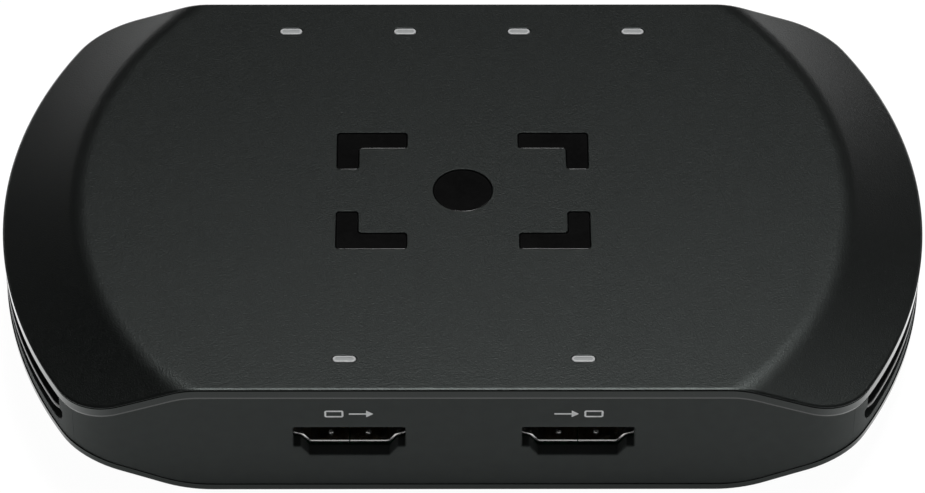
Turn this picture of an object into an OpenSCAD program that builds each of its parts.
// Video capture box: a flat box with a round-ended plan, a level top with sloping ends,
// two video sockets at the front, four small ports at the back and a vent in each end.
// Front is -Y, top is +Z, and z = 0 is the surface that the four feet stand on.

/* [Body] */
// Width over the two round ends, which is the diameter of the plan's disc
body_w = 124; // [120:1:130]
// Depth between the front and back edges of the top plate
body_d = 73; // [70:1:76]
// Height from the underside of the base to the level top
body_h = 19.6; // [19:0.2:21]
// Radius of the four upright corners
corner_r = 9.5; // [8:0.5:11]
// Width of the slope at each end of the top
wing_w = 11.1; // [9:0.1:14]
// How far the top falls over that slope
wing_drop = 4.9; // [4:0.1:5.2]
// Radius that blends the level top into the slope
wing_blend_r = 9; // [4:1:14]
// Width of the slope at each end of the base
base_wing_w = 10.3; // [9:0.1:12]
// How far the base rises over that slope
base_wing_rise = 6; // [5:0.1:6.2]

/* [Covers and walls] */
// Height of the top plate's visible edge
plate_edge = 0.35; // [0.3:0.05:0.7]
// Height of the shadow groove under the top plate
top_groove = 0.25; // [0.2:0.05:0.4]
// Depth of the shadow grooves
groove_depth = 0.6; // [0.4:0.1:0.8]
// Thickness of the upper housing's roof, which shows as the strip round the box
roof_t = 1.3; // [1.1:0.1:1.6]
// Thickness of the upper housing's end walls
wall_t = 1.8; // [1.4:0.1:2]
// Thickness of the front and rear panels
panel_t = 1.8; // [1.4:0.1:2]
// How far the panels sit back from the strip above them
panel_inset = 0.35; // [0.2:0.05:0.6]
// Angle round the corner at which a panel meets the end wall, from the X axis
panel_seam_deg = 47.5; // [42:0.5:55]
// Height of the base's visible edge
base_edge = 0.8; // [0.6:0.1:1]
// Height of the shadow groove above the base's edge
base_groove = 0.25; // [0.2:0.05:0.4]
// Thickness of the base
floor_t = 1.8; // [1.5:0.1:2]
// Thickness of the lip that locates the walls on the base
lip_t = 1.2; // [0.8:0.1:1.6]
// Height of that lip above the inside of the base
lip_h = 0.5; // [0.3:0.1:0.6]
// Gap between pieces that are glued or slid together
fit_gap = 0.05; // [0.03:0.01:0.08]

/* [Vents] */
// Height of the end wall that is left below the vent slot
vent_bar = 1.5; // [1.2:0.1:2]
// Thickness of the louvre's fin
louvre_t = 0.55; // [0.4:0.05:0.8]
// How far the fin's edge sits back from the wall's outer face
louvre_recess = 0.3; // [0.2:0.1:0.8]
// Depth of the fin
louvre_depth = 4; // [3:0.5:5]
// Angle between the fin's upturned end and the end of the slot
louvre_end_deg = 2.2; // [1.5:0.1:4]
// Thickness of the web behind the wall that carries the fin
web_t = 0.9; // [0.7:0.1:1.2]
// Number of windows in that web
window_count = 4; // [2:1:6]

/* [Video sockets] */
// Distance between the centres of the two video sockets
video_pitch = 30; // [26:1:34]
// Height of the sockets' centre above the underside of the base
video_z = 9.48; // [9:0.02:10]
// Width of a socket's opening
video_open_w = 14; // [13.6:0.1:14.4]
// Height of a socket's opening
video_open_h = 4.55; // [4.35:0.05:4.75]
// Height of the opening's upright sides
video_side_h = 2.9; // [2.6:0.1:3.2]
// Width of the small shoulder below each upright side
video_shoulder = 1; // [0.8:0.1:1.2]
// Width of the opening's floor
video_floor_w = 9.7; // [9.4:0.1:10]
// Thickness of a socket's metal shell
video_shell_t = 0.35; // [0.25:0.05:0.4]
// Length of a socket from its mouth to its back
video_depth = 12; // [11:0.5:13]
// How far the mouth sits back from the panel's face
video_recess = 2; // [1.9:0.1:2.6]
// Gap between the panel's cutout and the socket's opening
video_cutout_gap = 0.42; // [0.4:0.02:0.5]
// Length of the block that closes a socket's back
insulator_l = 4; // [3.5:0.1:4.5]
// Width of the contact tongue
tongue_w = 11.2; // [10.8:0.1:11.6]
// Thickness of the contact tongue
tongue_t = 1.2; // [1:0.1:1.4]
// Length of the contact tongue
tongue_l = 6.5; // [6:0.1:7]
// How far the tongue lies above the socket's centre
tongue_lift = 0.5; // [0.3:0.1:0.7]
// Number of contacts on the upper face of the tongue, with one fewer on the lower face
contact_count = 10; // [8:1:10]
// Distance between neighbouring contacts on one face of the tongue
contact_pitch = 1; // [0.95:0.01:1.05]
// Width of a contact
contact_w = 0.45; // [0.3:0.05:0.6]
// Thickness of a contact
contact_t = 0.12; // [0.1:0.01:0.16]
// How far a contact stops short of the tongue's end
contact_end = 1; // [0.5:0.1:1.5]

/* [Rear ports] */
// Distance between neighbouring rear ports
rear_pitch = 15.75; // [14.5:0.25:17]
// Width of the opening of the data and power ports
port_open_w = 8.34; // [8.2:0.02:8.5]
// Height of the opening of the data and power ports
port_open_h = 2.56; // [2.5:0.02:2.64]
// Thickness of those ports' metal shell
port_shell_t = 0.3; // [0.25:0.05:0.35]
// Length of those ports
port_depth = 7.3; // [7:0.1:8]
// Length of the block that closes those ports' back
port_back_l = 1.5; // [1:0.1:2]
// Width of their tongue
port_tongue_w = 6.7; // [6.5:0.1:6.9]
// Thickness of their tongue
port_tongue_t = 0.7; // [0.6:0.05:0.8]
// Length of their tongue
port_tongue_l = 4.5; // [4:0.1:5]
// Radius of an audio jack's bore
jack_bore_r = 1.8; // [1.75:0.01:1.85]
// Depth of that bore
jack_bore_l = 13; // [12:0.5:14]
// Width of an audio jack's body
jack_w = 7; // [6.6:0.1:7.6]
// Height of an audio jack's body
jack_h = 5.6; // [5.2:0.1:6]
// Length of an audio jack's body
jack_l = 12; // [11.5:0.5:13]
// Radius of the nose that stands in the panel
jack_nose_r = 2.7; // [2.6:0.05:2.8]
// Thickness of the metal ring at the jack's mouth
jack_ring_t = 0.45; // [0.3:0.05:0.6]
// Length of that ring
jack_ring_l = 0.8; // [0.6:0.1:1]
// How far the noses and port shells sit back from the panel's face
port_recess = 0.3; // [0.2:0.1:0.5]
// Gap between a port or nose and its hole in the panel
port_gap = 0.2; // [0.1:0.05:0.3]

/* [Indicators] */
// Width of an indicator's window
light_w = 3.05; // [2.6:0.05:3.4]
// Depth of an indicator's window
light_d = 1.15; // [1:0.05:1.3]
// Distance of both rows of windows from the edge of the top
light_edge = 5.5; // [4.5:0.5:6.5]
// Distance between the two front windows
light_front_pitch = 31.2; // [30:0.2:32]
// Distance of the lamps on the board behind the edge of the top
lamp_edge = 17; // [16.4:0.2:17.6]
// Width of a lamp
lamp_w = 1.6; // [1.2:0.1:2]
// Depth of a lamp
lamp_d = 0.8; // [0.6:0.1:1.2]
// Height of a lamp
lamp_h = 0.7; // [0.5:0.1:0.9]
// Height of the light pipe's level run above the board
pipe_run_z = 6.7; // [6.5:0.1:7]
// Thickness of a light pipe
pipe_t = 1.4; // [1.2:0.1:1.6]

/* [Emblem] */
// Width of the emblem
emblem_w = 34; // [30:1:36]
// Depth of the emblem
emblem_d = 22; // [20:1:24]
// Width of its bars
emblem_bar = 3; // [2.6:0.1:3.4]
// Length of a corner bracket's long arm
emblem_arm_x = 9.5; // [8:0.5:11]
// Length of a corner bracket's short arm
emblem_arm_y = 7; // [6:0.5:8]
// Radius of the disc in the middle
emblem_disc_r = 4; // [3:0.5:5]
// How far the emblem lies below the top
emblem_sink = 0.15; // [0.1:0.05:0.2]
// Margin of the emblem's carrier round the emblem
emblem_margin = 1.5; // [1:0.5:2.5]

/* [Circuit board] */
// Thickness of the board
board_t = 1.6; // [1.2:0.2:2]
// Gap between the board and the panels
board_gap = 0.5; // [0.3:0.1:0.8]
// Gap between the board and the plan's disc at the two ends
board_end_gap = 6.5; // [6:0.5:9]
// Gap between a screw boss and its hole in the board
board_hole_gap = 0.6; // [0.4:0.1:0.8]
// Gap between neighbouring packages on the board
package_gap = 1; // [0.8:0.1:1.2]
// Width of the square video processor
processor_w = 19; // [17:1:21]
// Height of the video processor
processor_h = 1.8; // [1.4:0.1:2.2]
// Margin of the thermal pad inside the processor's edges
pad_margin = 0.5; // [0.2:0.1:1]
// Thickness of the thermal pad
pad_t = 1; // [0.5:0.1:1.5]
// Width of the heat spreader
spreader_w = 46; // [40:1:50]
// Depth of the heat spreader
spreader_d = 26; // [23:1:28]
// Thickness of the heat spreader
spreader_t = 1.5; // [1:0.1:2]
// Length of a memory chip
memory_l = 12; // [11:0.5:13]
// Width of a memory chip
memory_w = 8; // [7:0.5:9]
// Height of the memory and interface chips
chip_h = 1; // [0.8:0.1:1.2]
// Width of an interface chip
interface_w = 7; // [6:0.5:8]
// Length of the clock crystal
crystal_l = 3.2; // [2.6:0.1:4]
// Width of the clock crystal
crystal_w = 2.5; // [2:0.1:3.2]
// Height of the clock crystal
crystal_h = 0.8; // [0.6:0.1:1]
// Length of the flash chip
flash_l = 5; // [4:0.5:6]
// Width of the flash chip
flash_w = 4; // [3.5:0.5:5]
// Height of the flash chip
flash_h = 1.6; // [1.2:0.1:2]
// Width of a square inductor
inductor_w = 5; // [4:0.5:6]
// Height of an inductor
inductor_h = 3; // [2.5:0.1:4]
// Radius of a capacitor can
can_r = 2.5; // [2:0.1:3]
// Height of a capacitor can
can_h = 5.5; // [5:0.1:7]

/* [Screws and feet] */
// Distance of the case screws from the round ends, along X
boss_end = 23; // [22:0.5:25]
// Distance of the case screws from the front and back edges
boss_edge = 16.5; // [15.5:0.5:17.5]
// Radius of the bosses that take the case screws
boss_r = 3.2; // [3:0.1:3.4]
// Radius of a case screw
case_screw_r = 1.2; // [1:0.05:1.25]
// Length of a case screw under its head
case_screw_l = 8; // [6:0.5:10]
// Radius of a case screw's head
case_head_r = 2.2; // [2:0.1:2.4]
// Height of a case screw's head
case_head_h = 1.3; // [1.1:0.1:1.4]
// Thickness of a screw post above the head of its case screw
post_cap = 1.5; // [1.2:0.1:2]
// Distance of the board screws from the round ends, along X
board_screw_end = 15; // [14:0.5:16]
// Distance between the two board screws at each end
board_screw_pitch = 16; // [14:0.5:18]
// Radius of the posts under the board
post_r = 2.4; // [2.2:0.1:2.6]
// Radius of a board screw
board_screw_r = 0.95; // [0.8:0.05:1]
// Length of a board screw under its head
board_screw_l = 4.6; // [4:0.1:5]
// Radius of a board screw's head
board_head_r = 1.9; // [1.8:0.1:2.1]
// Height of a board screw's head
board_head_h = 1.2; // [1:0.1:1.5]
// How much deeper a case screw's hole is than the screw
screw_hole_end = 1; // [0.5:0.1:1.5]
// Gap round the thread of every screw
screw_gap = 0.1; // [0.06:0.02:0.14]
// Radius of a foot
foot_r = 5; // [4.5:0.1:5.4]
// How far a foot stands below the base
foot_proud = 0.8; // [0.6:0.1:1.2]
// How far a foot is let into the base
foot_sink = 0.5; // [0.3:0.1:0.6]

/* [Hidden] */
$fn = 128;

// How far a cut runs past the face that it opens, and a joined shape into its neighbour
over = 1;

// Heights
base_z = foot_proud;
top_z = base_z + body_h;
far_z = top_z + body_h;
roof_drop = plate_edge + top_groove;
strip_drop = roof_drop + roof_t;
wall_rise = base_edge + base_groove + fit_gap;
socket_z = base_z + video_z;
board_top = socket_z - video_open_h / 2 - video_shell_t;
board_z = board_top - board_t;
floor_z = base_z + floor_t;
roof_z = top_z - strip_drop;
post_root_z = base_z + floor_t / 2;
screw_seat_z = base_z + foot_sink + case_head_h + fit_gap;
post_top_z = screw_seat_z + post_cap;

// Plan
disc_r = body_w / 2;
half_d = body_d / 2;
corner_y = half_d - corner_r;
corner_x = sqrt(pow(disc_r - corner_r, 2) - pow(corner_y, 2));
corner_deg = atan2(corner_y, corner_x);
seam_x = corner_x + corner_r * cos(panel_seam_deg);
lip_inset = max(wall_t, panel_inset + panel_t) + fit_gap;
panel_back = half_d - panel_inset - panel_t;
boss_x = disc_r - boss_end;
boss_y = half_d - boss_edge;
board_screw_x = disc_r - board_screw_end;
board_screw_y = board_screw_pitch / 2;

// Vents
vent_top = top_z - wing_drop - strip_drop;
vent_z = base_z + base_wing_rise + wall_rise + vent_bar;
vent_h = vent_top - vent_z;
fin_z = vent_z + vent_h / 2 - louvre_t / 2;
fin_r = disc_r - louvre_recess;
web_r = disc_r - wall_t - fit_gap;
web_z = base_z + base_wing_rise + wall_rise + fit_gap;
fin_half_deg = corner_deg - louvre_end_deg;
hook_deg = louvre_t / disc_r * 180 / PI;

// Places of what stands in rows, left to right
function row_xs(count, pitch) = [for (i = [0:count - 1]) (i - (count - 1) / 2) * pitch];
video_front = -(half_d - panel_inset - video_recess);
video_xs = row_xs(2, video_pitch);
rear_xs = row_xs(4, rear_pitch);
front_light_xs = row_xs(2, light_front_pitch);
light_y = half_d - light_edge;
lamp_y = half_d - lamp_edge;
port_front = half_d - panel_inset - port_recess;
jack_z = board_top + jack_h / 2;
port_z = board_top + port_open_h / 2 + port_shell_t;

// Places on the board, where a column of packages stands on each side of the heat spreader
column_x = spreader_w / 2 + package_gap + max(memory_w, interface_w, inductor_w, 2 * can_r) / 2;
column_y = memory_l / 2 + package_gap;
interface_y = -lamp_y + pipe_t + interface_w / 2;

// Level top, straight slope and the arc that blends them, as the region under the line.
// The line is level to corner_at and then runs in a straight slope to end_z at the rim.
module under_line(level_z, corner_at, end_z, blend_r) {
  run = disc_r - corner_at;
  fall = level_z - end_z;
  slope_deg = atan2(fall, run);
  centre = [corner_at - blend_r * tan(slope_deg / 2), level_z - blend_r];
  outer = blend_r + over;
  apex = outer / cos(slope_deg / 2);
  difference() {
    polygon([
      [0, -body_h],
      [0, level_z],
      [corner_at, level_z],
      [disc_r + over, end_z - over * fall / run],
      [disc_r + over, -body_h]
    ]);
    difference() {
      polygon([
        centre,
        centre + [0, outer],
        centre + apex * [sin(slope_deg / 2), cos(slope_deg / 2)],
        centre + outer * [sin(slope_deg), cos(slope_deg)]
      ]);
      translate(centre) circle(blend_r);
    }
  }
}

// Region below the top surface, lowered by drop
module under_top(drop) {
  under_line(top_z - drop, disc_r - wing_w, top_z - drop - wing_drop, wing_blend_r);
}

// Region above the base surface, raised by rise
module over_base(rise) {
  mirror([0, 1])
    under_line(-base_z - rise, disc_r - base_wing_w, -base_z - rise - base_wing_rise, wing_blend_r);
}

// Layer that follows the top, between two depths below it
module top_layer(from, to) {
  rotate_extrude() difference() {
    under_top(from);
    under_top(to);
  }
}

// Space between the top, lowered by drop, and the base, raised by rise
module between(drop, rise) {
  rotate_extrude() intersection() {
    under_top(drop);
    over_base(rise);
  }
}

// Plan: a disc cut off straight at front and back, with rounded corners
module plan(inset) {
  difference() {
    intersection() {
      circle(disc_r - inset);
      square([body_w, body_d - 2 * inset], center = true);
    }
    for (sx = [0, 1], sy = [0, 1]) mirror([sx, 0]) mirror([0, sy]) corner_waste(corner_r - inset);
  }
}

// What the rounding takes off one corner of the plan
module corner_waste(r) {
  centre = [corner_x, corner_y];
  outer = r + over;
  mid = (corner_deg + 90) / 2;
  apex = outer / cos(90 - mid);
  difference() {
    polygon([
      centre,
      centre + outer * [cos(corner_deg), sin(corner_deg)],
      centre + apex * [cos(mid), sin(mid)],
      centre + outer * [0, 1]
    ]);
    translate(centre) circle(r);
  }
}

// Upright block on the plan
module prism(inset) {
  linear_extrude(far_z) plan(inset);
}

// Upright ring on the plan, from one inset to another
module ring(outer, inner) {
  linear_extrude(far_z) difference() {
    plan(outer);
    plan(inner);
  }
}

// Flat outline with round ends
module pill(w, h) {
  square([w - h, h], center = true);
  for (s = [-1, 1]) translate([s * (w - h) / 2, 0]) circle(h / 2);
}

// Outline of a video socket, grown by gap, in width and height
module video_outline(gap) {
  side = video_open_w / 2 + gap;
  top = video_open_h / 2 + gap;
  shoulder_y = video_open_h / 2 - video_side_h - gap;
  shoulder_x = side - video_shoulder;
  floor_x = video_floor_w / 2 + gap;
  polygon([
    [-side, top],
    [side, top],
    [side, shoulder_y],
    [shoulder_x, shoulder_y],
    [floor_x, -top],
    [-floor_x, -top],
    [-shoulder_x, shoulder_y],
    [-side, shoulder_y]
  ]);
}

// Turns an outline in X and Z into a bar that runs along +Y from y_from
module along_y(y_from, length) {
  translate([0, y_from + length, 0]) rotate([90, 0, 0]) linear_extrude(length) children();
}

// Puts a copy at each of the four places at x and y from the middle
module at_four(x, y) {
  for (sx = [-1, 1], sy = [-1, 1]) translate([sx * x, sy * y, 0]) children();
}

// Bars of the emblem: four corner brackets and a disc
module emblem_outline(gap) {
  for (sx = [0, 1], sy = [0, 1]) mirror([sx, 0]) mirror([0, sy]) {
    translate([emblem_w / 2 - emblem_arm_x - gap, emblem_d / 2 - emblem_bar - gap])
      square([emblem_arm_x + 2 * gap, emblem_bar + 2 * gap]);
    translate([emblem_w / 2 - emblem_bar - gap, emblem_d / 2 - emblem_arm_y - gap])
      square([emblem_bar + 2 * gap, emblem_arm_y + 2 * gap]);
  }
  circle(emblem_disc_r + gap);
}

// Plate under the bars that carries them
module emblem_carrier(gap) {
  square([emblem_w, emblem_d] + 2 * (emblem_margin + gap) * [1, 1], center = true);
}

// Windows of all six indicators
module light_windows(gap) {
  for (x = front_light_xs) translate([x, -light_y]) pill(light_w + 2 * gap, light_d + 2 * gap);
  for (x = rear_xs) translate([x, light_y]) pill(light_w + 2 * gap, light_d + 2 * gap);
}

// Thin grained plate over the whole top, with a shadow groove under its edge
module top_plate() {
  color("#343635") difference() {
    intersection() {
      prism(0);
      top_layer(0, roof_drop - fit_gap);
    }
    intersection() {
      ring(-over, groove_depth);
      rotate_extrude() under_top(plate_edge);
    }
    translate([0, 0, top_z - over]) linear_extrude(2 * over) {
      light_windows(fit_gap);
      emblem_outline(fit_gap);
    }
    translate([0, 0, top_z - plate_edge - over]) linear_extrude(over) emblem_carrier(fit_gap);
  }
}

// Gloss bars on their carrier, let into the top plate from below
module emblem_inlay() {
  carrier_t = top_groove - fit_gap;
  color("#0c0c0c") translate([0, 0, top_z - roof_drop + fit_gap]) {
    linear_extrude(carrier_t - fit_gap) emblem_carrier(0);
    linear_extrude(roof_drop - fit_gap - emblem_sink) emblem_outline(0);
  }
}

// Roof whose edge is the strip, with the two end walls, the vents and four screw bosses
module upper_housing() {
  color("#3a3c3b") difference() {
    union() {
      intersection() {
        prism(0);
        top_layer(roof_drop, strip_drop);
      }
      // The end walls reach halfway up into the strip, so that the two join in a volume
      intersection() {
        ring(0, wall_t);
        between((roof_drop + strip_drop) / 2, wall_rise);
        end_space();
      }
      at_four(boss_x, boss_y) translate([0, 0, post_top_z + fit_gap])
        cylinder(r = boss_r, h = roof_z - post_top_z);
    }
    vent_slots();
    linear_extrude(far_z) light_windows(fit_gap);
    at_four(boss_x, boss_y) translate([0, 0, base_z])
      cylinder(r = case_screw_r + screw_gap, h = screw_seat_z + case_screw_l + screw_hole_end - base_z);
  }
}

// Space beyond the panel seams at both ends
module end_space() {
  for (s = [0, 1]) mirror([s, 0, 0]) translate([seam_x, -body_d, 0]) cube([body_w, 2 * body_d, far_z]);
}

// Sweeps an outline of radius and height along an arc, half_deg to each side of +X
module arc(half_deg) {
  rotate([0, 0, -half_deg]) rotate_extrude(angle = 2 * half_deg) children();
}

// The slots of both vents
module vent_slots() {
  for (turn = [0, 180]) rotate([0, 0, turn]) arc(corner_deg)
    translate([disc_r - wall_t - over, vent_z]) square([wall_t + 2 * over, vent_h]);
}

// Fin in the middle of a vent with upturned ends, on a web behind the wall below the slot.
// Windows in the web, level with the slot's lower half, let the air through.
module louvre(turn) {
  back_r = fin_r - louvre_depth;
  web_back_r = web_r - web_t;
  hook_top = vent_top - fit_gap;
  inner_deg = fin_half_deg - hook_deg;
  window_deg = 2 * inner_deg / window_count;
  color("#232423") rotate([0, 0, turn]) difference() {
    arc(fin_half_deg) polygon([
      [web_back_r, web_z],
      [web_r, web_z],
      [web_r, fin_z],
      [fin_r, fin_z],
      [fin_r, hook_top],
      [back_r, hook_top],
      [back_r, fin_z],
      [web_back_r, fin_z]
    ]);
    arc(inner_deg) translate([back_r - over, fin_z + louvre_t]) square([louvre_depth + 2 * over, vent_h]);
    for (i = [0:window_count - 1]) rotate([0, 0, (i + 0.5) * window_deg - inner_deg])
      arc((window_deg - hook_deg) / 2)
        translate([web_back_r - over, vent_z]) square([web_t + 2 * over, fin_z - vent_z]);
  }
}

module left_louvre() { louvre(180); }

module right_louvre() { louvre(0); }

// Blank of a panel at the front, between the two end walls
module panel_blank() {
  half_w = seam_x - fit_gap;
  intersection() {
    ring(panel_inset, panel_inset + panel_t);
    between(strip_drop + fit_gap, wall_rise);
    translate([-half_w, -body_d, 0]) cube([2 * half_w, body_d, far_z]);
  }
}

// Front panel with the two video cutouts
module front_panel() {
  color("#2e302f") difference() {
    panel_blank();
    for (x = video_xs) translate([x, 0, socket_z]) along_y(-body_d, body_d) video_outline(video_cutout_gap);
  }
}

// Rear panel with the holes for two ports and two jacks
module rear_panel() {
  hole_w = port_open_w + 2 * (port_shell_t + port_gap);
  hole_h = port_open_h + 2 * (port_shell_t + port_gap);
  color("#2e302f") difference() {
    mirror([0, 1, 0]) panel_blank();
    for (i = [0, 1]) translate([rear_xs[i], 0, port_z]) along_y(0, body_d) pill(hole_w, hole_h);
    for (i = [2, 3]) translate([rear_xs[i], 0, jack_z]) along_y(0, body_d) circle(jack_nose_r + port_gap);
  }
}

// Base with its edge, the shadow groove, the seat for the walls and the lip inside them
module base_tray() {
  difference() {
    intersection() {
      prism(0);
      rotate_extrude() difference() {
        over_base(0);
        over_base(floor_t + lip_h);
      }
    }
    intersection() {
      ring(-over, lip_inset);
      rotate_extrude() over_base(wall_rise - fit_gap);
    }
    intersection() {
      ring(-over, groove_depth);
      rotate_extrude() over_base(base_edge);
    }
    intersection() {
      prism(lip_inset + lip_t);
      rotate_extrude() over_base(floor_t);
    }
  }
}

// The base tray with its screw posts and the posts that carry the board
module bottom_cover() {
  color("#2c2d2d") difference() {
    union() {
      base_tray();
      at_four(boss_x, boss_y) translate([0, 0, post_root_z])
        cylinder(r = boss_r, h = post_top_z - post_root_z);
      at_four(board_screw_x, board_screw_y) translate([0, 0, post_root_z])
        cylinder(r = post_r, h = board_z - post_root_z);
      at_four(video_pitch / 2, -video_front - video_depth / 2) translate([0, 0, post_root_z])
        cylinder(r = post_r, h = board_z - post_root_z);
    }
    at_four(boss_x, boss_y) {
      translate([0, 0, base_z - over]) cylinder(r = foot_r + fit_gap, h = over + foot_sink);
      translate([0, 0, base_z]) cylinder(r = case_head_r + screw_gap, h = screw_seat_z - base_z);
      translate([0, 0, base_z]) cylinder(r = case_screw_r + screw_gap, h = far_z);
    }
    at_four(board_screw_x, board_screw_y) translate([0, 0, floor_z])
      cylinder(r = board_screw_r + screw_gap, h = far_z);
  }
}

// Light pipe from a lamp on the board, up, out to the row of windows and up to the top
module light_pipe(x, side) {
  run_z = board_top + pipe_run_z;
  foot_z = board_top + lamp_h + fit_gap;
  run_from = lamp_y - pipe_t / 2;
  run_to = light_y + light_d / 2;
  color("#b4b8b8") translate([x, 0, 0]) mirror([0, side, 0]) {
    translate([-light_w / 2, run_from, foot_z]) cube([light_w, pipe_t, run_z - foot_z]);
    translate([-light_w / 2, run_from, run_z]) cube([light_w, run_to - run_from, pipe_t]);
    translate([0, light_y, run_z]) linear_extrude(top_z - run_z) pill(light_w, light_d);
  }
}

module front_light_pipe_1() { light_pipe(front_light_xs[0], 1); }

module front_light_pipe_2() { light_pipe(front_light_xs[1], 1); }

module rear_light_pipe_1() { light_pipe(rear_xs[0], 0); }

module rear_light_pipe_2() { light_pipe(rear_xs[1], 0); }

module rear_light_pipe_3() { light_pipe(rear_xs[2], 0); }

module rear_light_pipe_4() { light_pipe(rear_xs[3], 0); }

// Block that stands on the board, centred at x and y
module on_board(x, y, size, lift = 0) {
  translate([x - size.x / 2, y - size.y / 2, board_top + lift]) cube(size);
}

// Lamp under a light pipe
module lamp(x, y) {
  color("#e8e6da") on_board(x, y, [lamp_w, lamp_d, lamp_h]);
}

module front_lamp_1() { lamp(front_light_xs[0], -lamp_y); }

module front_lamp_2() { lamp(front_light_xs[1], -lamp_y); }

module rear_lamp_1() { lamp(rear_xs[0], lamp_y); }

module rear_lamp_2() { lamp(rear_xs[1], lamp_y); }

module rear_lamp_3() { lamp(rear_xs[2], lamp_y); }

module rear_lamp_4() { lamp(rear_xs[3], lamp_y); }

// Metal shell of a video socket
module video_shell(x) {
  color("#8f9192") translate([x, 0, socket_z]) along_y(video_front, video_depth) difference() {
    video_outline(video_shell_t);
    video_outline(0);
  }
}

// Block that closes the back of the shell, with the contact tongue on it
module video_insulator(x) {
  back = video_front + video_depth;
  color("#101010") translate([x, 0, socket_z]) {
    along_y(back - insulator_l, insulator_l) video_outline(-fit_gap);
    along_y(back - insulator_l - tongue_l, tongue_l)
      translate([0, tongue_lift]) square([tongue_w, tongue_t], center = true);
  }
}

// Contact strips on both faces of the tongue
module video_contacts(x) {
  upper = row_xs(contact_count, contact_pitch);
  lower = row_xs(contact_count - 1, contact_pitch);
  length = tongue_l - contact_end;
  color("#c9a85a")
    translate([x, video_front + video_depth - insulator_l - length, socket_z + tongue_lift]) {
      for (c = upper) translate([c - contact_w / 2, 0, tongue_t / 2]) cube([contact_w, length, contact_t]);
      for (c = lower) translate([c - contact_w / 2, 0, -tongue_t / 2 - contact_t])
        cube([contact_w, length, contact_t]);
    }
}

module video_out_shell() { video_shell(video_xs[0]); }

module video_out_insulator() { video_insulator(video_xs[0]); }

module video_out_contacts() { video_contacts(video_xs[0]); }

module video_in_shell() { video_shell(video_xs[1]); }

module video_in_insulator() { video_insulator(video_xs[1]); }

module video_in_contacts() { video_contacts(video_xs[1]); }

// Metal shell of an oval port
module port_shell(x) {
  color("#9a9c9d") translate([x, 0, port_z]) along_y(port_front - port_depth, port_depth) difference() {
    pill(port_open_w + 2 * port_shell_t, port_open_h + 2 * port_shell_t);
    pill(port_open_w, port_open_h);
  }
}

// Block at the back of an oval port, with its tongue
module port_tongue(x) {
  back = port_front - port_depth;
  color("#151515") translate([x, 0, port_z]) {
    along_y(back, port_back_l) pill(port_open_w - 2 * fit_gap, port_open_h - 2 * fit_gap);
    along_y(back + port_back_l, port_tongue_l) square([port_tongue_w, port_tongue_t], center = true);
  }
}

module data_port_shell() { port_shell(rear_xs[0]); }

module data_port_tongue() { port_tongue(rear_xs[0]); }

module power_port_shell() { port_shell(rear_xs[1]); }

module power_port_tongue() { port_tongue(rear_xs[1]); }

// Audio jack: a block with a round nose and a blind bore, with a seat for the ring at its mouth
module audio_jack(x) {
  body_front = panel_back - fit_gap;
  color("#1b1c1c") translate([x, 0, jack_z]) difference() {
    union() {
      along_y(body_front - jack_l, jack_l) square([jack_w, jack_h], center = true);
      along_y(body_front - over, port_front - body_front + over) circle(jack_nose_r);
    }
    along_y(port_front - jack_bore_l, jack_bore_l + over) circle(jack_bore_r);
    along_y(port_front - jack_ring_l, jack_ring_l + over) circle(jack_bore_r + jack_ring_t + fit_gap);
  }
}

// Metal ring at the mouth of a jack
module audio_ring(x) {
  color("#b9bbbc") translate([x, 0, jack_z]) along_y(port_front - jack_ring_l, jack_ring_l) difference() {
    circle(jack_bore_r + jack_ring_t);
    circle(jack_bore_r + fit_gap);
  }
}

module audio_in_jack() { audio_jack(rear_xs[2]); }

module audio_in_ring() { audio_ring(rear_xs[2]); }

module audio_out_jack() { audio_jack(rear_xs[3]); }

module audio_out_ring() { audio_ring(rear_xs[3]); }

// Circuit board with holes for the bosses and for its own screws
module main_board() {
  color("#1f4a33") translate([0, 0, board_z]) linear_extrude(board_t) difference() {
    intersection() {
      circle(disc_r - board_end_gap);
      square([body_w, 2 * (panel_back - board_gap)], center = true);
    }
    at_four(boss_x, boss_y) circle(boss_r + board_hole_gap);
    at_four(board_screw_x, board_screw_y) circle(board_screw_r + screw_gap);
  }
}

module video_processor() {
  color("#161616") on_board(0, 0, [processor_w, processor_w, processor_h]);
}

module thermal_pad() {
  pad_w = processor_w - 2 * pad_margin;
  color("#8fa3b5") on_board(0, 0, [pad_w, pad_w, pad_t], processor_h);
}

module heat_spreader() {
  color("#b5b8ba") on_board(0, 0, [spreader_w, spreader_d, spreader_t], processor_h + pad_t);
}

// Memory chip beside the heat spreader
module memory_chip(side) {
  color("#181818") on_board(side * column_x, 0, [memory_w, memory_l, chip_h]);
}

module memory_chip_1() { memory_chip(-1); }

module memory_chip_2() { memory_chip(1); }

// Square chip behind a video socket
module interface_chip(x) {
  color("#1a1a1a") on_board(x, interface_y, [interface_w, interface_w, chip_h]);
}

module input_receiver() { interface_chip(video_xs[1]); }

module output_driver() { interface_chip(video_xs[0]); }

module bridge_chip() {
  color("#1a1a1a") on_board(-column_x, column_y + interface_w / 2, [interface_w, interface_w, chip_h]);
}

module clock_crystal() {
  y = column_y + interface_w + package_gap + crystal_w / 2;
  color("#c0c2c4") on_board(-column_x, y, [crystal_l, crystal_w, crystal_h]);
}

module flash_chip() {
  color("#1a1a1a") on_board(-column_x, -column_y - flash_w / 2, [flash_l, flash_w, flash_h]);
}

// Square inductor of the power supply, the first or second of the column
module power_inductor(i) {
  y = column_y + inductor_w / 2 + i * (inductor_w + package_gap);
  color("#3b3b3d") on_board(column_x, y, [inductor_w, inductor_w, inductor_h]);
}

module power_inductor_1() { power_inductor(0); }

module power_inductor_2() { power_inductor(1); }

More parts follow.
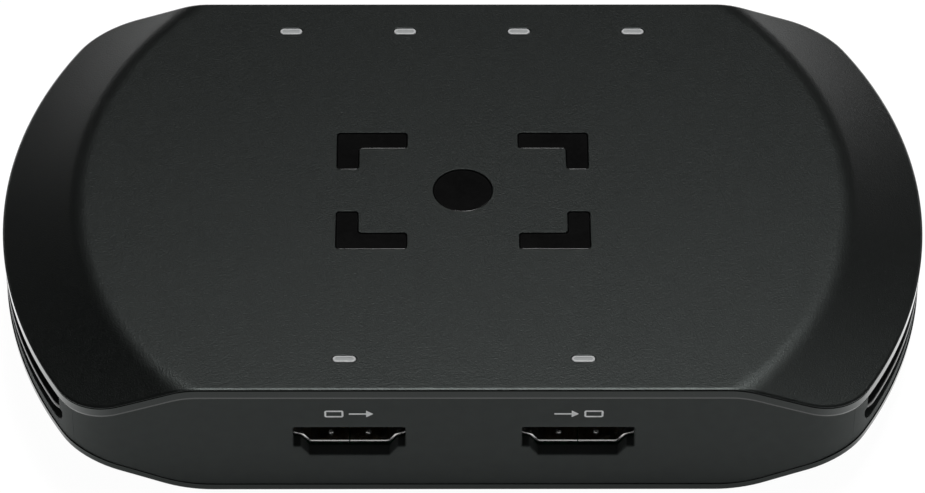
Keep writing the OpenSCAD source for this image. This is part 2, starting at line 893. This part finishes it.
// Capacitor cans in a short row
module capacitor_cans() {
  step = 2 * can_r + package_gap;
  color("#a9abad") for (i = [0, 1]) translate([column_x, -column_y - can_r - i * step, board_top])
    cylinder(r = can_r, h = can_h);
}

// Screw that points along +Z, with its head below z = 0
module screw(r, length, head_r, head_h) {
  cylinder(r = r, h = length);
  translate([0, 0, -head_h]) cylinder(r = head_r, h = head_h);
}

// Four screws under the feet that hold the base to the housing
module case_screws() {
  color("#77797a") at_four(boss_x, boss_y) translate([0, 0, screw_seat_z])
    screw(case_screw_r, case_screw_l, case_head_r, case_head_h);
}

// Four screws that hold the board to the base
module board_screws() {
  color("#8b8d8e") at_four(board_screw_x, board_screw_y) translate([0, 0, board_top]) mirror([0, 0, 1])
    screw(board_screw_r, board_screw_l, board_head_r, board_head_h);
}

// Round rubber foot let into the base
module foot(sx, sy) {
  color("#1d1d1d") translate([sx * boss_x, sy * boss_y, 0]) cylinder(r = foot_r, h = foot_proud + foot_sink);
}

module foot_1() { foot(-1, -1); }

module foot_2() { foot(1, -1); }

module foot_3() { foot(1, 1); }

module foot_4() { foot(-1, 1); }

top_plate();
emblem_inlay();
upper_housing();
front_panel();
rear_panel();
bottom_cover();
left_louvre();
right_louvre();
front_light_pipe_1();
front_light_pipe_2();
rear_light_pipe_1();
rear_light_pipe_2();
rear_light_pipe_3();
rear_light_pipe_4();
front_lamp_1();
front_lamp_2();
rear_lamp_1();
rear_lamp_2();
rear_lamp_3();
rear_lamp_4();
video_out_shell();
video_out_insulator();
video_out_contacts();
video_in_shell();
video_in_insulator();
video_in_contacts();
data_port_shell();
data_port_tongue();
power_port_shell();
power_port_tongue();
audio_in_jack();
audio_in_ring();
audio_out_jack();
audio_out_ring();
main_board();
video_processor();
thermal_pad();
heat_spreader();
memory_chip_1();
memory_chip_2();
input_receiver();
output_driver();
bridge_chip();
flash_chip();
clock_crystal();
power_inductor_1();
power_inductor_2();
capacitor_cans();
case_screws();
board_screws();
foot_1();
foot_2();
foot_3();
foot_4();
